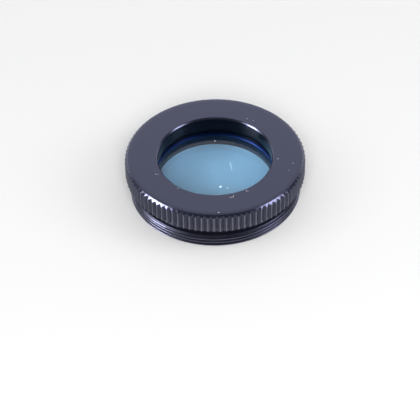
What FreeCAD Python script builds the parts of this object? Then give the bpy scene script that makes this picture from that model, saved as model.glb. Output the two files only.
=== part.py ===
import FreeCAD
import Part

import math
import os

# Eyepiece filter for 31.7 mm (1.25 inch) eyepieces, in millimetres.
# The optical axis is +Z, and the filter stands on the end of its male thread at z = 0,
# with the plain front face and the knurled rim at the top.
# A turned cell holds a disc of tinted glass between its front shoulder and a screwed ring.

# Knurled rim
KNURL_RADIUS = 15.0
RIM_HEIGHT = 3.4
RIM_FRONT_CHAMFER = 0.5
RIM_BACK_CHAMFER = 0.15
KNURL_TEETH = 93
KNURL_DEPTH = 0.3
KNURL_CREST_WIDTH = 0.15

# Male barrel thread, M28.5 x 0.6, drawn at its major diameter
BARREL_THREAD_RADIUS = 14.25
BARREL_THREAD_LENGTH = 2.2
BARREL_LEAD_CHAMFER = 0.25
RELIEF_RADIUS = 13.3
RELIEF_LENGTH = 1.7

# Clear aperture in the front wall
APERTURE_RADIUS = 9.5
APERTURE_CHAMFER = 0.25
APERTURE_BACK_BREAK = 0.1
FRONT_WALL = 2.6

# Tinted glass disc
GLASS_RADIUS = 12.0
GLASS_THICKNESS = 2.35
GLASS_BEVEL = 0.15
GLASS_SIDE_CLEARANCE = 0.1

# Female thread for the retaining ring, drawn at its major diameter
RING_THREAD_RADIUS = 12.5
RING_THREAD_RUNOUT = 0.3
RING_LEAD_CHAMFER = 0.2

# Retaining ring with two spanner slots
RING_HEIGHT = 2.3
RING_BORE_RADIUS = 9.65
RING_THREAD_CLEARANCE = 0.1
RING_EDGE_BREAK = 0.15
SPANNER_SLOT_WIDTH = 1.2
SPANNER_SLOT_DEPTH = 0.8

# Levels along the axis
RELIEF_BOTTOM = BARREL_THREAD_LENGTH
RIM_BOTTOM = RELIEF_BOTTOM + RELIEF_LENGTH
FRONT_FACE = RIM_BOTTOM + RIM_HEIGHT
GLASS_TOP = FRONT_FACE - FRONT_WALL
GLASS_BOTTOM = GLASS_TOP - GLASS_THICKNESS
RING_BOTTOM = GLASS_BOTTOM - RING_HEIGHT
RING_THREAD_TOP = GLASS_BOTTOM + RING_THREAD_RUNOUT

POCKET_RADIUS = GLASS_RADIUS + GLASS_SIDE_CLEARANCE
RING_RADIUS = RING_THREAD_RADIUS - RING_THREAD_CLEARANCE

# How far a cutting tool runs past the faces that it opens
CUTTER_OVERRUN = 0.5

AXIS = FreeCAD.Vector(0, 0, 1)
ORIGIN = FreeCAD.Vector(0, 0, 0)


def turned(profile):
    """A solid of revolution about Z from a closed (radius, height) profile."""
    points = [FreeCAD.Vector(radius, 0, height) for radius, height in profile]
    section = Part.Face(Part.makePolygon(points + points[:1]))
    return section.revolve(ORIGIN, AXIS, 360)


def cell_blank():
    """The cell as it leaves the lathe, before its rim is knurled."""
    outside = [
        (BARREL_THREAD_RADIUS - BARREL_LEAD_CHAMFER, 0),
        (BARREL_THREAD_RADIUS, BARREL_LEAD_CHAMFER),
        (BARREL_THREAD_RADIUS, RELIEF_BOTTOM),
        (RELIEF_RADIUS, RELIEF_BOTTOM),
        (RELIEF_RADIUS, RIM_BOTTOM),
        (KNURL_RADIUS - RIM_BACK_CHAMFER, RIM_BOTTOM),
        (KNURL_RADIUS, RIM_BOTTOM + RIM_BACK_CHAMFER),
        (KNURL_RADIUS, FRONT_FACE - RIM_FRONT_CHAMFER),
        (KNURL_RADIUS - RIM_FRONT_CHAMFER, FRONT_FACE),
    ]
    inside = [
        (APERTURE_RADIUS + APERTURE_CHAMFER, FRONT_FACE),
        (APERTURE_RADIUS, FRONT_FACE - APERTURE_CHAMFER),
        (APERTURE_RADIUS, GLASS_TOP + APERTURE_BACK_BREAK),
        (APERTURE_RADIUS + APERTURE_BACK_BREAK, GLASS_TOP),
        (POCKET_RADIUS, GLASS_TOP),
        (POCKET_RADIUS, RING_THREAD_TOP),
        (RING_THREAD_RADIUS, RING_THREAD_TOP),
        (RING_THREAD_RADIUS, RING_LEAD_CHAMFER),
        (RING_THREAD_RADIUS + RING_LEAD_CHAMFER, 0),
    ]
    return turned(outside + inside)


def knurl_groove():
    """One straight V groove across the rim, at azimuth 0."""
    pitch_angle = 2 * math.pi / KNURL_TEETH
    half_width = (KNURL_RADIUS * pitch_angle - KNURL_CREST_WIDTH) / 2
    flank_slope = half_width / KNURL_DEPTH
    root_radius = KNURL_RADIUS - KNURL_DEPTH
    mouth_radius = KNURL_RADIUS + CUTTER_OVERRUN
    mouth_half_width = flank_slope * (mouth_radius - root_radius)
    start = RIM_BOTTOM - CUTTER_OVERRUN
    corners = [
        FreeCAD.Vector(root_radius, 0, start),
        FreeCAD.Vector(mouth_radius, mouth_half_width, start),
        FreeCAD.Vector(mouth_radius, -mouth_half_width, start),
    ]
    section = Part.Face(Part.makePolygon(corners + corners[:1]))
    return section.extrude(AXIS * (RIM_HEIGHT + 2 * CUTTER_OVERRUN))


def filter_cell():
    """The turned cell with its knurled rim."""
    grooves = []
    for tooth in range(KNURL_TEETH):
        groove = knurl_groove()
        groove.rotate(ORIGIN, AXIS, tooth * 360 / KNURL_TEETH)
        grooves.append(groove)
    return cell_blank().cut(grooves)


def filter_glass():
    """The glass disc, with the ground bevel on both of its edges."""
    return turned([
        (0, GLASS_BOTTOM),
        (GLASS_RADIUS - GLASS_BEVEL, GLASS_BOTTOM),
        (GLASS_RADIUS, GLASS_BOTTOM + GLASS_BEVEL),
        (GLASS_RADIUS, GLASS_TOP - GLASS_BEVEL),
        (GLASS_RADIUS - GLASS_BEVEL, GLASS_TOP),
        (0, GLASS_TOP),
    ])


def retaining_ring():
    """The ring that clamps the glass, with a slot for a pin spanner on each side."""
    ring = turned([
        (RING_BORE_RADIUS + RING_EDGE_BREAK, RING_BOTTOM),
        (RING_RADIUS - RING_EDGE_BREAK, RING_BOTTOM),
        (RING_RADIUS, RING_BOTTOM + RING_EDGE_BREAK),
        (RING_RADIUS, GLASS_BOTTOM - RING_EDGE_BREAK),
        (RING_RADIUS - RING_EDGE_BREAK, GLASS_BOTTOM),
        (RING_BORE_RADIUS, GLASS_BOTTOM),
        (RING_BORE_RADIUS, RING_BOTTOM + RING_EDGE_BREAK),
    ])
    slot_length = 2 * (RING_RADIUS + CUTTER_OVERRUN)
    slots = Part.makeBox(
        slot_length,
        SPANNER_SLOT_WIDTH,
        SPANNER_SLOT_DEPTH + CUTTER_OVERRUN,
        FreeCAD.Vector(-slot_length / 2, -SPANNER_SLOT_WIDTH / 2, RING_BOTTOM - CUTTER_OVERRUN),
    )
    return ring.cut(slots)


def main():
    os.makedirs("parts", exist_ok=True)
    nodes = {
        "filter_cell": filter_cell(),
        "filter_glass": filter_glass(),
        "retaining_ring": retaining_ring(),
    }
    for name, shape in nodes.items():
        shape.exportStep(f"parts/{name}.step")
        box = shape.BoundBox
        print(
            f"{name}: {len(shape.Solids)} solid, valid {shape.isValid()}, "
            f"{shape.Volume:.1f} mm3, {box.XLength:.2f} x {box.YLength:.2f} x {box.ZLength:.2f} mm"
        )


main()
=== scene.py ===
import math

import bpy
import numpy as np
from mathutils import Matrix, Vector


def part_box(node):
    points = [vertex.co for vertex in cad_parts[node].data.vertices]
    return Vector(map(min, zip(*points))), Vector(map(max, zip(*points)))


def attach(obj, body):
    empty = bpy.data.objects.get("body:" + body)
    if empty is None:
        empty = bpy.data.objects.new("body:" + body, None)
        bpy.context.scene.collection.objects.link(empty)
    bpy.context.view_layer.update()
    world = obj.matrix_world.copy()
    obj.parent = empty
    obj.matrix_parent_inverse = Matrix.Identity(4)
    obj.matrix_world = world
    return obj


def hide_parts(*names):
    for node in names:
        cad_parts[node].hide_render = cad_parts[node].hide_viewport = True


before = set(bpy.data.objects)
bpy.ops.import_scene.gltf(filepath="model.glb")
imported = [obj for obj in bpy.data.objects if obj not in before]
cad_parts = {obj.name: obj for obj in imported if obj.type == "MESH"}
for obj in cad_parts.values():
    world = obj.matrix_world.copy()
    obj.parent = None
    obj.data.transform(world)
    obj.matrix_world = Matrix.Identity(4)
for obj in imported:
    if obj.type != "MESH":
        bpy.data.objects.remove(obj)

MM = 0.001

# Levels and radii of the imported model, in mm
CELL_LOW, CELL_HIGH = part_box("filter_cell")
GLASS_LOW, GLASS_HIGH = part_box("filter_glass")
RING_LOW, RING_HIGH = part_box("retaining_ring")
BACK_Z = CELL_LOW.z / MM
GLASS_TOP_Z = GLASS_HIGH.z / MM
GLASS_BOTTOM_Z = GLASS_LOW.z / MM
RING_BOTTOM_Z = RING_LOW.z / MM
CREST_R = CELL_HIGH.x / MM
GLASS_R = GLASS_HIGH.x / MM
RING_R = RING_HIGH.x / MM

# The front face lies a speck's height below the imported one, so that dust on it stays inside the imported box
SPECK_HEIGHT = 0.01
FRONT_Z = CELL_HIGH.z / MM - SPECK_HEIGHT

# Knurled rim, in mm
TEETH = 93
TOOTH_AZIMUTH = math.radians(-91.15)
KNURL_DEPTH = 0.28
KNURL_CREST = 0.15
KNURL_CREST_ROUND = 0.006
KNURL_ROOT_ROUND = 0.012
RIM_Z = 3.9
FRONT_CHAMFER = 0.5
BACK_BREAK = 0.15

# Neck and male thread, in mm
NECK_R = 13.3
NECK_FILLET = 0.12
NECK_FOOT = 0.06
THREAD_R = 14.25
THREAD_TOP = 2.2
THREAD_PITCH = 0.6
THREAD_FLANK = math.radians(30)
THREAD_DEPTH = 0.31
THREAD_CREST = 0.18
THREAD_ROUND = 0.035
THREAD_CREST_Z = 0.25
LEAD_CHAMFER = 0.25

# Inside of the cell, in mm
BORE_R = 9.5
BORE_CHAMFER = 0.25
BORE_ROUND = 0.2
POCKET_R = 12.1
RING_SEAT_R = 12.5
RING_SEAT_TOP = GLASS_BOTTOM_Z + 0.3
SEAT_CHAMFER = 0.2

# Where the inside's mesh meets the rim's on the front face and the thread's on the back, in mm
FACE_RING_R = CREST_R - 1.2
BACK_RING_R = THREAD_R - LEAD_CHAMFER - 0.05

# Glass and retaining ring, in mm
GLASS_BEVEL = 0.15
RING_BORE_R = 9.65
RING_BREAK = 0.15
SLOT_WIDTH = 1.2
SLOT_DEPTH = 0.8
BAR_LENGTH = 2.2 * RING_R

# Rounded top edge of the ring's bore: how far out and how far down each point lies, in mm
RING_EDGE = [(0.50, 0.0), (0.33, 0.02), (0.15, 0.085), (0.04, 0.17), (0.0, 0.28)]

# Dust: x, y and radius in mm of each speck on the front face and on the glass
FACE_SPECKS = [
    (5.07, -8.81, 0.12), (5.32, -8.9, 0.06), (-6.08, -7.99, 0.09), (-9.77, -4.44, 0.10),
    (-9.42, -4.5, 0.06), (10.43, -1.05, 0.10), (12.89, -2.19, 0.09), (12.16, -3.91, 0.06),
    (0.48, -13.93, 0.13), (5.48, 9.23, 0.09), (6.52, 8.82, 0.08),
]
GLASS_SPECKS = [
    (0.02, 6.66, 0.09), (0.9, -4.8, 0.15), (0.8, -5.0, 0.12), (2.02, -5.25, 0.14), (-0.75, -1.1, 0.06),
]
SPECK_SIDES = 7

# One fibre on the front face and one hairline scratch on the glass, as paths of x and y in mm
FIBRE = [(2.30, -10.18), (2.44, -10.33), (2.66, -10.38), (2.86, -10.25), (2.94, -10.0), (2.90, -9.78)]
FIBRE_HALF_WIDTH = 0.045
SCRATCH = [(2.44, 1.35), (2.52, 0.95), (2.62, 0.45), (2.70, -0.1), (2.74, -0.6), (2.72, -0.95)]
SCRATCH_HALF_WIDTH = 0.03
HAIR_SIDES = 6
HAIR_END = 0.4

# Mesh columns round the rim, in mm along it: from a tooth's crest, and before its root
CREST_COLUMNS = [0.05, 0.085, 0.13, 0.24, 0.36]
ROOT_COLUMNS = [0.06, 0.02]
COARSE_COLUMNS = 4 * TEETH
TURNED_COLUMNS = 256

# Mesh rows of the thread, in pitches: from a crest's middle at 0 towards a root's at 0.5
THREAD_ROWS = [0, 0.1, 0.15, 0.18, 0.23, 0.32, 0.41, 0.45]
THREAD_SNAP = 0.012

# How far the small rounding of edges reaches along a face and drops at its middle, in mm
CELL_SOFT = 0.05
TURNED_SOFT = 0.03
EDGE_SOFT = 0.02
CREST_SOFT = 0.03
EDGE_SAG = 0.008
FACE_SAG = 0.004

# Where one finish gives way to another (the painted shade, painted highlight and painted glow copies), in mm,
# and the largest slope of an upright face
BORE_SHADE_R = RING_SEAT_R + 0.05
BORE_SHADE_TOP = FRONT_Z - BORE_CHAMFER - 0.02
NECK_SHADE_Z = THREAD_TOP - 0.12
THREAD_HIGHLIGHT_R = THREAD_R - 0.1
GROOVE_SHADE_R = CREST_R - 0.04
UPRIGHT = 0.2
RING_GLOW_R = RING_BORE_R + 1.5
RING_GLOW_Z = GLASS_BOTTOM_Z - 0.24

# Anodised finishes: darkest and lightest colour of the uneven dye, roughness, shine, and depth of the grain
# and the turning marks. Apart from the face's and the ring's own finish, they are copies of the one black
# anodise with painted shade, painted highlight or a painted glow, as noted on each
DYE_SHEEN = (0.63, 0.65, 1.0)
ANODISED = {
    "black_anodise": dict(
        dark=(0.007, 0.009, 0.017), light=(0.010, 0.012, 0.022),
        roughness=0.2, shine=0.78, grain=0.10, turning=0.08, crest_wear_and_highlight=True,
    ),
    # Inside of the cell below the bore's chamfer: a darker copy with less shine, painted shade
    "bore_painted_shade": dict(
        dark=(0.001, 0.0015, 0.003), light=(0.0015, 0.002, 0.004),
        roughness=0.3, shine=0.12, grain=0.12, turning=0.1,
    ),
    # Thread's crests: a lighter, shinier copy, painted highlight
    "thread_painted_highlight": dict(
        dark=(0.018, 0.019, 0.026), light=(0.026, 0.027, 0.036),
        roughness=0.26, shine=1.0, grain=0.2, turning=0.1,
    ),
    # Knurl's grooves and the neck: a darker copy with less shine, painted shade
    "groove_painted_shade": dict(
        dark=(0.006, 0.007, 0.012), light=(0.010, 0.011, 0.018),
        roughness=0.38, shine=0.4, grain=0.3, turning=0.1,
    ),
    # Thread's roots and flanks: a darker copy with less shine, painted shade
    "root_painted_shade": dict(
        dark=(0.004, 0.005, 0.009), light=(0.006, 0.007, 0.012),
        roughness=0.42, shine=0.25, grain=0.2, turning=0.1,
    ),
    "ring_anodise": dict(
        dark=(0.006, 0.007, 0.012), light=(0.008, 0.010, 0.016),
        roughness=0.42, shine=0.3, grain=0.12, turning=0.1,
    ),
    # Ring's rounded top edge: bluer colour and a strong blue-tinted shine, a painted blue glow
    "ring_edge_painted_glow": dict(
        dark=(0.004, 0.006, 0.016), light=(0.006, 0.008, 0.02),
        roughness=0.36, shine=1.0, grain=0.12, turning=0.1, sheen=(0.22, 0.32, 1.0),
    ),
}
CELL_SLOTS = ["black_anodise", "bore_painted_shade", "thread_painted_highlight", "groove_painted_shade", "root_painted_shade"]
RING_SLOTS = ["ring_anodise", "ring_edge_painted_glow"]
DYE_SCALE = 260.0
GRAIN_SCALE = 9000.0
GRAIN_HEIGHT = 0.00003
TURNING_SCALE = 22000.0
TURNING_HEIGHT = 0.00002
OXIDE_IOR = 1.76
ROUGHNESS_SPREAD = 0.06
# Lighter colour on the knurl's crests: partly wear, partly painted highlight on the crest lines
RUBBED_AND_HIGHLIGHT = (0.115, 0.117, 0.135)
WEAR_AND_HIGHLIGHT_START = 0.10
WEAR_AND_HIGHLIGHT_END = 0.02

# Dust: darkest and lightest colour, and the mottle's scale; the lightest colour is also that of the dust's
# painted glow
GREY = ((0.30, 0.32, 0.38), (0.58, 0.60, 0.66))
PALE = ((0.70, 0.82, 0.92), (0.85, 0.94, 1.0))
MOTTLE_SCALE = 6000.0

# Glass: refraction, the colour and density of its dye, and the colour of what its surface lets through
GLASS_IOR = 1.52
GLASS_DYE = (0.03, 0.65, 0.975)
GLASS_DENSITY = 200.0
GLASS_SURFACE = (0.98, 0.99, 1.0)
GLASS_SHADOW = (0.97, 0.98, 1.0)

# The photograph's camera, solved from the filter's own circles
PICTURE_PX = 420
FACE_CENTRE_PX = (214.47, 154.95)
FOCAL_PX = 2284.7
CAMERA_DISTANCE = 0.3792
CAMERA_ELEVATION = math.radians(41.42)
CAMERA_ROLL = math.radians(-0.75)
SENSOR_WIDTH = 36.0

# Stage, in m
FLOOR_SIZE = 4
FLOOR_Z = -0.00002
FLOOR_COLOUR = (0.86, 0.855, 0.845)
LAMP_DISTANCE = 0.6
LAMP_TARGET = (0, 0, 0.004)
ROOM_COLOUR = (0.96, 0.97, 1.0)
ROOM_LIGHT = 0.62


def link_object(name, data):
    made = bpy.data.objects.new(name, data)
    bpy.context.scene.collection.objects.link(made)
    return made


class Shell:
    """Vertices and faces of one closed surface, built ring by ring."""

    def __init__(self):
        self.points = []
        self.faces = []

    def point(self, radius, height, azimuth):
        self.points.append([radius * math.cos(azimuth), radius * math.sin(azimuth), float(height)])
        return len(self.points) - 1

    def ring(self, radii, heights, azimuths, centre=(0, 0)):
        """Add one point at each azimuth; a radius or height may be the same for all of them."""
        first = len(self.points)
        count = len(azimuths)
        radii = np.broadcast_to(radii, count)
        heights = np.broadcast_to(heights, count)
        columns = (centre[0] + radii * np.cos(azimuths), centre[1] + radii * np.sin(azimuths), heights)
        self.points.extend(np.stack(columns, axis=1).tolist())
        return list(range(first, first + count))

    def face(self, corners):
        kept = [c for i, c in enumerate(corners) if c != corners[i - 1]]
        if len(set(kept)) == len(kept) and len(kept) > 2:
            self.faces.append(kept)

    def lathe(self, rings):
        """Quads between each two rings in turn; they face outwards where the rings go upwards."""
        for lower, upper in zip(rings, rings[1:]):
            count = len(lower)
            for i in range(count):
                n = (i + 1) % count
                self.face([lower[i], lower[n], upper[n], upper[i]])

    def cap(self, rings):
        """Flat ends below the first ring and above the last."""
        self.face(rings[0][::-1])
        self.face(rings[-1])

    def stitch(self, coarse, fine, coarse_first):
        """Polygons on a flat band between a coarse ring and one with several steps for each of its own.

        They face outwards where coarse_first says which of the two a lathe would take as its lower ring.
        """
        ratio = len(fine) // len(coarse)
        count = len(coarse)
        for i in range(count):
            edge = [fine[(i * ratio + k) % len(fine)] for k in range(ratio + 1)]
            corners = [coarse[i], coarse[(i + 1) % count]] + edge[::-1]
            self.face(corners if coarse_first else corners[::-1])

    def build(self, name):
        mesh = bpy.data.meshes.new(name)
        mesh.from_pydata((np.array(self.points) * MM).tolist(), [], self.faces)
        mesh.validate()
        mesh.update()
        return link_object(name, mesh)


def softened(profile, reach, closed=False):
    """The same (radius, height) profile with each corner rounded over that reach."""
    share_of_side = 0.45
    out = []
    count = len(profile)
    for i, point in enumerate(profile):
        if not closed and i in (0, count - 1):
            out.append(point)
            continue
        here = np.array(point)
        before = np.array(profile[i - 1]) - here
        after = np.array(profile[(i + 1) % count]) - here
        a = here + before * min(reach / np.linalg.norm(before), share_of_side)
        b = here + after * min(reach / np.linalg.norm(after), share_of_side)
        out.extend([tuple(a), tuple((a + here * 2 + b) / 4), tuple(b)])
    return out


def quarter_round(radius, height, width, rise, degrees):
    """Points of a rounded corner, from its upright wall at 0 degrees to its level one at 90.

    The upright wall goes up from the corner where the rise is positive, and down where it is negative.
    """
    turns = [math.radians(angle) for angle in degrees]
    return [(radius + width * (1 - math.cos(t)), height + rise * (1 - math.sin(t))) for t in turns]


def above_zero(value, rounding):
    """The larger of the value and 0, with the corner between the two rounded."""
    return (value + np.sqrt(value ** 2 + 4 * rounding ** 2)) / 2


def smooth_normals(obj, sharp_degrees):
    obj.data.polygons.foreach_set("use_smooth", [True] * len(obj.data.polygons))
    obj.data.set_sharp_from_angle(angle=math.radians(sharp_degrees))
    weighted = obj.modifiers.new("weighted", "WEIGHTED_NORMAL")
    weighted.keep_sharp = True
    weighted.weight = 100


def azimuths_of(count):
    return TOOTH_AZIMUTH + np.arange(count) * 2 * math.pi / count


def knurl():
    """Azimuth and radius of every fine column round the rim."""
    pitch = 2 * math.pi * CREST_R / TEETH
    half = pitch / 2
    side = np.array(CREST_COLUMNS + [half - gap for gap in ROOT_COLUMNS])
    offsets = np.concatenate([[0], side, [half], pitch - side[::-1]])
    slope = KNURL_DEPTH / ((pitch - KNURL_CREST) / 2)
    from_crest = np.minimum(offsets, pitch - offsets)
    from_root = half - from_crest
    flank = above_zero(slope * (from_crest - KNURL_CREST / 2), KNURL_CREST_ROUND)
    root = KNURL_DEPTH + KNURL_ROOT_ROUND - np.hypot(slope * from_root, KNURL_ROOT_ROUND)
    drop = np.minimum(flank, root)
    drop -= drop.min()
    along = np.arange(TEETH)[:, None] * pitch + offsets
    azimuths = TOOTH_AZIMUTH + along.ravel() / CREST_R
    return azimuths, np.tile(CREST_R - drop, TEETH)


def thread_radius(phase, z):
    """Radius of the male thread, cut back by the lead-in chamfer and by the relief groove's wall."""
    slope = 1 / math.tan(THREAD_FLANK)
    from_crest = THREAD_PITCH * np.abs((phase + 0.5) % 1 - 0.5)
    flank = above_zero(slope * (from_crest - THREAD_CREST / 2), THREAD_ROUND)
    flank = flank - above_zero(-slope * THREAD_CREST / 2, THREAD_ROUND)
    radius = THREAD_R - np.minimum(flank, THREAD_DEPTH)
    radius = np.minimum(radius, THREAD_R - LEAD_CHAMFER + z - BACK_Z)
    return np.minimum(radius, THREAD_R - THREAD_DEPTH + THREAD_TOP - z)


def thread(shell, azimuths):
    """The helical thread from the cell's back to the thread's top; returns its lowest and highest rings.

    Each row of points follows the helix at one phase. Where it leaves the thread's length, its points are
    those of the lowest or the highest ring, which closes the surface there.
    """
    count = len(azimuths)
    # A crest crosses the near side, at an azimuth of -90 degrees, at THREAD_CREST_Z
    turned = (azimuths + math.pi / 2) / (2 * math.pi)
    base = THREAD_CREST_Z - THREAD_PITCH * math.ceil(THREAD_CREST_Z / THREAD_PITCH)
    low, high = [
        shell.ring(thread_radius((z - base) / THREAD_PITCH - turned, z), z, azimuths)
        for z in (BACK_Z, THREAD_TOP)
    ]

    steps = THREAD_ROWS + [0.5] + [1 - step for step in THREAD_ROWS[:0:-1]]
    turns = int(THREAD_TOP / THREAD_PITCH) + 3
    rows = []
    for phase in [turn + step - 1 for turn in range(turns) for step in steps]:
        heights = base + (phase + turned) * THREAD_PITCH
        radii = thread_radius(phase, heights)
        row = []
        for i in range(count):
            if heights[i] <= BACK_Z + THREAD_SNAP:
                row.append(low[i])
            elif heights[i] >= THREAD_TOP - THREAD_SNAP:
                row.append(high[i])
            else:
                row.append(shell.point(radii[i], heights[i], azimuths[i]))
        rows.append(row)

    # The last column meets the first one a whole turn further along the helix
    first_column = [row[0] for row in rows] + [high[0]] * len(steps)
    for j in range(len(rows) - 1):
        for i in range(count - 1):
            shell.face([rows[j][i], rows[j][i + 1], rows[j + 1][i + 1], rows[j + 1][i]])
        k = j + len(steps)
        shell.face([rows[j][-1], first_column[k], first_column[k + 1], rows[j + 1][-1]])
    return low, high


def rim_profile(rim):
    """Radius and height of each ring up the knurled rim, from the neck's shoulder to the front face."""
    edge = np.minimum(rim, CREST_R - BACK_BREAK)
    break_z = RIM_Z + rim - edge
    grooved = rim <= edge
    flat = CREST_R - FRONT_CHAMFER
    chamfer_z = FRONT_Z - (rim - flat)
    return [
        (edge - EDGE_SOFT, RIM_Z),
        (edge, RIM_Z + EDGE_SAG),
        (rim - EDGE_SOFT / 2, break_z - EDGE_SOFT / 2 + EDGE_SOFT * grooved),
        (rim, break_z + CREST_SOFT),
        (rim, (break_z + chamfer_z) / 2),
        (rim, chamfer_z - CREST_SOFT),
        (rim - EDGE_SAG, chamfer_z),
        (rim - CREST_SOFT, chamfer_z + CREST_SOFT),
        (flat + EDGE_SOFT, FRONT_Z - EDGE_SOFT),
        (flat, FRONT_Z - FACE_SAG),
        (flat - EDGE_SOFT, FRONT_Z),
    ]


def make_cell():
    shell = Shell()
    coarse = azimuths_of(COARSE_COLUMNS)
    inside = softened(
        [
            (FACE_RING_R, FRONT_Z),
            (BORE_R + BORE_CHAMFER, FRONT_Z),
            (BORE_R, FRONT_Z - BORE_CHAMFER),
            *quarter_round(BORE_R, GLASS_TOP_Z, BORE_ROUND, BORE_ROUND, (0, 30, 60, 90)),
            (POCKET_R, GLASS_TOP_Z),
            (POCKET_R, RING_SEAT_TOP),
            (RING_SEAT_R, RING_SEAT_TOP),
            (RING_SEAT_R, BACK_Z + SEAT_CHAMFER),
            (RING_SEAT_R + SEAT_CHAMFER, BACK_Z),
            (BACK_RING_R, BACK_Z),
        ],
        CELL_SOFT,
    )
    inner_rings = [shell.ring(r, z, coarse) for r, z in inside]
    low, high = thread(shell, coarse)
    shell.lathe(inner_rings + [low])

    neck = [
        (NECK_R + NECK_FOOT, THREAD_TOP),
        (NECK_R, THREAD_TOP + NECK_FOOT),
        *quarter_round(NECK_R, RIM_Z, NECK_FILLET, -NECK_FILLET, (0, 45, 90)),
    ]
    neck_rings = [high] + [shell.ring(r, z, coarse) for r, z in neck]
    shell.lathe(neck_rings)

    fine, rim = knurl()
    rim_rings = [shell.ring(r, z, fine) for r, z in rim_profile(rim)]
    shell.lathe(rim_rings)
    shell.stitch(neck_rings[-1], rim_rings[0], coarse_first=True)
    shell.stitch(inner_rings[0], rim_rings[-1], coarse_first=False)
    cell = shell.build("cell")
    smooth_normals(cell, sharp_degrees=20)
    return cell


def cell_slot(face):
    """Which of the cell's finishes a face has: painted shade in the bore, the knurl's grooves, the neck and
    the thread's roots, which are darker copies with less shine, and a painted highlight on the thread's
    crests, a lighter and shinier copy.
    """
    centre = face.center / MM
    radius = math.hypot(centre.x, centre.y)
    if radius < BORE_SHADE_R and centre.z < BORE_SHADE_TOP:
        return "bore_painted_shade"
    if centre.z >= RIM_Z:
        groove = radius < GROOVE_SHADE_R and abs(face.normal.z) < UPRIGHT
        return "groove_painted_shade" if groove else "black_anodise"
    if centre.z > NECK_SHADE_Z:
        return "groove_painted_shade"
    return "thread_painted_highlight" if radius > THREAD_HIGHLIGHT_R else "root_painted_shade"


def make_glass():
    """A bevelled disc, closed on the axis."""
    profile = [
        (0, GLASS_BOTTOM_Z),
        (GLASS_R - GLASS_BEVEL, GLASS_BOTTOM_Z),
        (GLASS_R, GLASS_BOTTOM_Z + GLASS_BEVEL),
        (GLASS_R, GLASS_TOP_Z - GLASS_BEVEL),
        (GLASS_R - GLASS_BEVEL, GLASS_TOP_Z),
        (0, GLASS_TOP_Z),
    ]
    shell = Shell()
    azimuths = azimuths_of(TURNED_COLUMNS)
    rings = [shell.ring(r, z, azimuths) for r, z in softened(profile, TURNED_SOFT)[1:-1]]
    shell.lathe(rings)
    shell.cap(rings)
    glass = shell.build("glass")
    smooth_normals(glass, sharp_degrees=30)
    return glass


def make_ring():
    """The retaining ring, with its two spanner slots across the underside."""
    profile = [
        (RING_BORE_R + RING_BREAK, RING_BOTTOM_Z),
        (RING_R - RING_BREAK, RING_BOTTOM_Z),
        (RING_R, RING_BOTTOM_Z + RING_BREAK),
        (RING_R, GLASS_BOTTOM_Z - RING_BREAK),
        (RING_R - RING_BREAK, GLASS_BOTTOM_Z),
        *[(RING_BORE_R + out, GLASS_BOTTOM_Z - down) for out, down in RING_EDGE],
        (RING_BORE_R, RING_BOTTOM_Z + RING_BREAK),
    ]
    shell = Shell()
    azimuths = azimuths_of(TURNED_COLUMNS)
    rings = [shell.ring(r, z, azimuths) for r, z in softened(profile, TURNED_SOFT, closed=True)]
    shell.lathe(rings + rings[:1])
    ring = shell.build("ring")
    cut_slots(ring)
    smooth_normals(ring, sharp_degrees=30)
    return ring


def cut_slots(ring):
    """Cut both slots with one bar across the whole ring, sunk to half its height."""
    bpy.ops.mesh.primitive_cube_add(size=1)
    cutter = bpy.context.object
    cutter.scale = (BAR_LENGTH * MM, SLOT_WIDTH * MM, 2 * SLOT_DEPTH * MM)
    cutter.location = (0, 0, RING_BOTTOM_Z * MM)
    slots = ring.modifiers.new("slots", "BOOLEAN")
    slots.operation = "DIFFERENCE"
    slots.solver = "EXACT"
    slots.object = cutter
    bpy.context.view_layer.update()
    evaluated = ring.evaluated_get(bpy.context.evaluated_depsgraph_get())
    mesh = bpy.data.meshes.new_from_object(evaluated)
    ring.modifiers.clear()
    ring.data = mesh
    bpy.data.objects.remove(cutter)


def ring_slot(face):
    """Which of the ring's finishes a face has: its rounded top edge gets a painted blue glow, a bluer copy
    with a strong blue-tinted shine.
    """
    centre = face.center / MM
    inner = math.hypot(centre.x, centre.y) < RING_GLOW_R
    return "ring_edge_painted_glow" if inner and centre.z > RING_GLOW_Z else "ring_anodise"


def make_specks(name, specks, base_z):
    """Flat irregular flakes of dust, lying on a level face."""
    shell = Shell()
    for x, y, size in specks:
        turn = x * 7.1 + y * 3.7
        azimuths = turn + np.arange(SPECK_SIDES) * 2 * math.pi / SPECK_SIDES
        radii = size * (1 + 0.35 * np.sin(azimuths * 2 + turn) + 0.15 * np.sin(azimuths * 3))
        rings = [
            shell.ring(radii * share, base_z + SPECK_HEIGHT * rise, azimuths, (x, y))
            for share, rise in ((1.0, 0), (0.75, 0.7), (0.3, 1))
        ]
        shell.lathe(rings)
        shell.cap(rings)
    return shell.build(name)


def make_hair(name, path, half_width, base_z):
    """A thin flat strand along a level path, tapering to its ends."""
    shell = Shell()
    around = np.arange(HAIR_SIDES) * 2 * math.pi / HAIR_SIDES
    points = np.array(path)
    ahead = np.gradient(points, axis=0)
    ahead /= np.linalg.norm(ahead, axis=1)[:, None]
    rings = []
    for i, (x, y) in enumerate(points):
        size = half_width * (HAIR_END if i in (0, len(points) - 1) else 1)
        first = len(shell.points)
        for angle in around:
            across = size * math.cos(angle)
            height = SPECK_HEIGHT * (1 + math.sin(angle)) / 2
            shell.points.append([x - ahead[i][1] * across, y + ahead[i][0] * across, base_z + height])
        rings.append(list(range(first, first + HAIR_SIDES)))
    shell.lathe(rings)
    shell.cap(rings)
    return shell.build(name)


def node(tree, kind, **values):
    made = tree.nodes.new(kind)
    for name, value in values.items():
        if hasattr(made, name):
            setattr(made, name, value)
        else:
            made.inputs[name.replace("_", " ")].default_value = value
    return made


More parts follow.
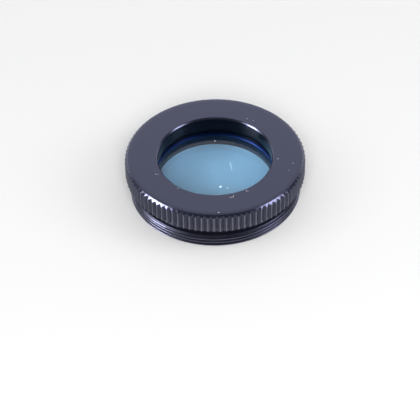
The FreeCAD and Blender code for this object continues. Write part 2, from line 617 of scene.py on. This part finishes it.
def ramp(tree, source, start, end, low=0.0, high=1.0, kind="SMOOTHSTEP"):
    """The source's value between start and end, mapped to low and high."""
    made = node(tree, "ShaderNodeMapRange", interpolation_type=kind)
    made.inputs["From Min"].default_value = start
    made.inputs["From Max"].default_value = end
    made.inputs["To Min"].default_value = low
    made.inputs["To Max"].default_value = high
    tree.links.new(source, made.inputs["Value"])
    return made.outputs["Result"]


def product(tree, first, second):
    made = node(tree, "ShaderNodeMath", operation="MULTIPLY")
    tree.links.new(first, made.inputs[0])
    tree.links.new(second, made.inputs[1])
    return made.outputs["Value"]


def blend(tree, factor, first, second):
    """A mix by the factor of two colours; the first may be the result of another mix."""
    made = node(tree, "ShaderNodeMix", data_type="RGBA")
    made.inputs["B"].default_value = (*second, 1)
    if isinstance(first, tuple):
        made.inputs["A"].default_value = (*first, 1)
    else:
        tree.links.new(first, made.inputs["A"])
    tree.links.new(factor, made.inputs["Factor"])
    return made.outputs["Result"]


def new_material(name):
    material = bpy.data.materials.new(name)
    material.use_nodes = True
    tree = material.node_tree
    return material, tree, tree.nodes["Principled BSDF"]


def anodised(name, dark, light, roughness, shine, grain, turning, crest_wear_and_highlight=False, sheen=DYE_SHEEN):
    """Satin anodised aluminium: fine bead-blasted grain, faint turning marks and uneven dye."""
    material, tree, shader = new_material(name)
    link = tree.links.new
    shader.inputs["IOR"].default_value = OXIDE_IOR
    shader.inputs["Specular IOR Level"].default_value = shine
    shader.inputs["Specular Tint"].default_value = (*sheen, 1)
    place = node(tree, "ShaderNodeTexCoord").outputs["Object"]

    dye = node(tree, "ShaderNodeTexNoise", Scale=DYE_SCALE, Detail=4.0, Roughness=0.6)
    link(place, dye.inputs["Vector"])
    tint = blend(tree, dye.outputs["Fac"], dark, light)

    fine = node(tree, "ShaderNodeTexNoise", Scale=GRAIN_SCALE, Detail=3.0, Roughness=0.7)
    link(place, fine.inputs["Vector"])
    low, high = roughness - ROUGHNESS_SPREAD, roughness + ROUGHNESS_SPREAD
    link(ramp(tree, fine.outputs["Fac"], 0.0, 1.0, low, high, "LINEAR"), shader.inputs["Roughness"])

    flat = node(tree, "ShaderNodeVectorMath", operation="MULTIPLY")
    flat.inputs[1].default_value = (1, 1, 0)
    link(place, flat.inputs[0])
    radius = node(tree, "ShaderNodeVectorMath", operation="LENGTH")
    link(flat.outputs["Vector"], radius.inputs[0])
    # The knurl's crests get lighter towards the full radius: partly wear, partly painted highlight
    if crest_wear_and_highlight:
        start, end = (CREST_R - WEAR_AND_HIGHLIGHT_START) * MM, (CREST_R - WEAR_AND_HIGHLIGHT_END) * MM
        crest_wear_and_highlight_mask = ramp(tree, radius.outputs["Value"], start, end)
        tint = blend(tree, product(tree, crest_wear_and_highlight_mask, fine.outputs["Fac"]), tint, RUBBED_AND_HIGHLIGHT)
    link(tint, shader.inputs["Base Color"])

    rings = node(tree, "ShaderNodeTexNoise", noise_dimensions="1D", Scale=TURNING_SCALE, Detail=2.0)
    link(radius.outputs["Value"], rings.inputs["W"])
    marks = node(tree, "ShaderNodeBump", Strength=turning, Distance=TURNING_HEIGHT)
    link(rings.outputs["Fac"], marks.inputs["Height"])
    pits = node(tree, "ShaderNodeBump", Strength=grain, Distance=GRAIN_HEIGHT)
    link(fine.outputs["Fac"], pits.inputs["Height"])
    link(marks.outputs["Normal"], pits.inputs["Normal"])
    link(pits.outputs["Normal"], shader.inputs["Normal"])
    return material


def tinted_glass(name):
    """Clear polished glass with a blue tint, which lets lamps through in its own colour."""
    material, tree, shader = new_material(name)
    link = tree.links.new
    output = tree.nodes["Material Output"]
    shader.inputs["Base Color"].default_value = (*GLASS_SURFACE, 1)
    shader.inputs["Transmission Weight"].default_value = 1
    shader.inputs["Roughness"].default_value = 0.0
    shader.inputs["IOR"].default_value = GLASS_IOR
    path = node(tree, "ShaderNodeLightPath")
    clear = node(tree, "ShaderNodeBsdfTransparent", Color=(*GLASS_SHADOW, 1))
    mix = node(tree, "ShaderNodeMixShader")
    link(path.outputs["Is Shadow Ray"], mix.inputs["Fac"])
    link(shader.outputs["BSDF"], mix.inputs[1])
    link(clear.outputs["BSDF"], mix.inputs[2])
    link(mix.outputs["Shader"], output.inputs["Surface"])
    body = node(tree, "ShaderNodeVolumeAbsorption", Density=GLASS_DENSITY, Color=(*GLASS_DYE, 1))
    link(body.outputs["Volume"], output.inputs["Volume"])
    return material


def dust_with_painted_glow(name, colours, glow):
    """Matt mottled dust, with a painted glow in its lightest colour for what it scatters from the side lamps.
    """
    material, tree, shader = new_material(name)
    dark, light = colours
    mottle = node(tree, "ShaderNodeTexNoise", Scale=MOTTLE_SCALE, Detail=2.0)
    tree.links.new(node(tree, "ShaderNodeTexCoord").outputs["Object"], mottle.inputs["Vector"])
    tint = blend(tree, mottle.outputs["Fac"], dark, light)
    tree.links.new(tint, shader.inputs["Base Color"])
    shader.inputs["Roughness"].default_value = 0.9
    shader.inputs["Emission Color"].default_value = (*light, 1)
    shader.inputs["Emission Strength"].default_value = glow
    return material


def dress(piece, slots, slot_of):
    """The anodised finishes of a piece, and which of them each face has."""
    piece.data.materials.clear()
    for name in slots:
        piece.data.materials.append(anodised(name, **ANODISED[name]))
    for face in piece.data.polygons:
        face.material_index = slots.index(slot_of(face))


def make_filter():
    cell = make_cell()
    dress(cell, CELL_SLOTS, cell_slot)
    glass = make_glass()
    glass.data.materials.append(tinted_glass("tinted_glass"))
    ring = make_ring()
    dress(ring, RING_SLOTS, ring_slot)
    for piece, name, slot in (
        (cell, "filter_cell", "black_anodise"),
        (glass, "filter_glass", "tinted_glass"),
        (ring, "retaining_ring", "ring_anodise"),
    ):
        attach(piece, "root")
        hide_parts(name)


def make_dust():
    """Specks on the face and the glass, one short fibre on the face and a hairline scratch on the glass."""
    grey = dust_with_painted_glow("grey_dust_and_glow", GREY, 0.02)
    pale = dust_with_painted_glow("pale_dust_and_glow", PALE, 0.7)
    # The hairline scratch's pale colour also gets a painted glow
    hairline = dust_with_painted_glow("hairline", PALE, 0.32)
    for piece, material in (
        (make_specks("dust_on_face", FACE_SPECKS, FRONT_Z), grey),
        (make_specks("dust_on_glass", GLASS_SPECKS, GLASS_TOP_Z), pale),
        (make_hair("fibre", FIBRE, FIBRE_HALF_WIDTH, FRONT_Z), grey),
        (make_hair("scratch", SCRATCH, SCRATCH_HALF_WIDTH, GLASS_TOP_Z), hairline),
    ):
        piece.data.materials.append(material)
        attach(piece, "root")


def make_floor():
    bpy.ops.mesh.primitive_plane_add(size=FLOOR_SIZE, location=(0, 0, FLOOR_Z))
    floor = bpy.context.object
    floor.name = "floor"
    paint, _, shader = new_material("floor_paint")
    shader.inputs["Base Color"].default_value = (*FLOOR_COLOUR, 1)
    shader.inputs["Roughness"].default_value = 0.8
    floor.data.materials.append(paint)


def softbox(name, direction, side, power, colour=(1, 1, 1)):
    lamp = bpy.data.lights.new(name, "AREA")
    lamp.shape = "SQUARE"
    lamp.size = side
    lamp.energy = power
    lamp.color = colour
    box = link_object(name, lamp)
    box.location = Vector(direction).normalized() * LAMP_DISTANCE
    box.rotation_euler = (Vector(LAMP_TARGET) - box.location).to_track_quat("-Z", "Y").to_euler()
    return box


def make_lamps():
    """Two side lamps that show as glares, and three fills that light the surfaces without one."""
    glares = [
        softbox("left_softbox", (-0.815, -0.175, 0.55), 0.2, 3.0),
        softbox("right_softbox", (0.795, -0.225, 0.565), 0.2, 1.1, (0.92, 0.92, 1.0)),
    ]
    fills = [
        softbox("front_fill", (0.0, -0.77, 0.638), 0.28, 2.3),
        softbox("left_fill", (-0.85, -0.1, 0.52), 0.3, 0.25),
        softbox("right_fill", (0.85, -0.1, 0.52), 0.3, 0.8),
    ]
    for box in glares:
        box.visible_diffuse = False
    for box in fills:
        box.visible_glossy = False
        box.visible_transmission = False


def make_room():
    """Even pale light all round, which reflections show bright at the back and dim in front and overhead."""
    world = bpy.data.worlds.new("studio")
    bpy.context.scene.world = world
    world.use_nodes = True
    tree = world.node_tree
    link = tree.links.new
    split = node(tree, "ShaderNodeSeparateXYZ")
    link(node(tree, "ShaderNodeTexCoord").outputs["Generated"], split.inputs[0])
    from_back = ramp(tree, split.outputs["Y"], 0.28, 0.62, 0.06, 1.0)
    from_floor = ramp(tree, split.outputs["Z"], 0.5, 0.86, 1.15, 0.45)
    strength = node(tree, "ShaderNodeMix", A=ROOM_LIGHT)
    link(node(tree, "ShaderNodeLightPath").outputs["Is Glossy Ray"], strength.inputs["Factor"])
    link(product(tree, from_back, from_floor), strength.inputs["B"])
    background = tree.nodes["Background"]
    background.inputs["Color"].default_value = (*ROOM_COLOUR, 1)
    link(strength.outputs["Result"], background.inputs["Strength"])


def make_camera():
    """The photograph's viewpoint: its place, focal length, aim and slight roll."""
    middle = (PICTURE_PX - 1) / 2
    across = FACE_CENTRE_PX[0] - middle
    up = middle - FACE_CENTRE_PX[1]
    data = bpy.data.cameras.new("camera")
    data.sensor_width = SENSOR_WIDTH
    data.lens = FOCAL_PX / PICTURE_PX * SENSOR_WIDTH
    data.clip_start = 0.01
    camera = link_object("camera", data)
    target = Vector((0, 0, FRONT_Z * MM))
    back = Vector((0, -math.cos(CAMERA_ELEVATION), math.sin(CAMERA_ELEVATION)))
    look = (-back).to_track_quat("-Z", "Y").to_matrix().to_4x4()
    roll = Matrix.Rotation(CAMERA_ROLL, 4, "Z")
    pan = Matrix.Rotation(math.atan(across / FOCAL_PX), 4, "Y")
    tilt = Matrix.Rotation(-math.atan(up / FOCAL_PX), 4, "X")
    camera.matrix_world = Matrix.Translation(target + back * CAMERA_DISTANCE) @ look @ roll @ pan @ tilt
    bpy.context.scene.camera = camera


def main():
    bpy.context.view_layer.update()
    make_filter()
    make_dust()
    make_floor()
    make_lamps()
    make_room()
    make_camera()
    bpy.context.scene.view_settings.view_transform = "Standard"


main()
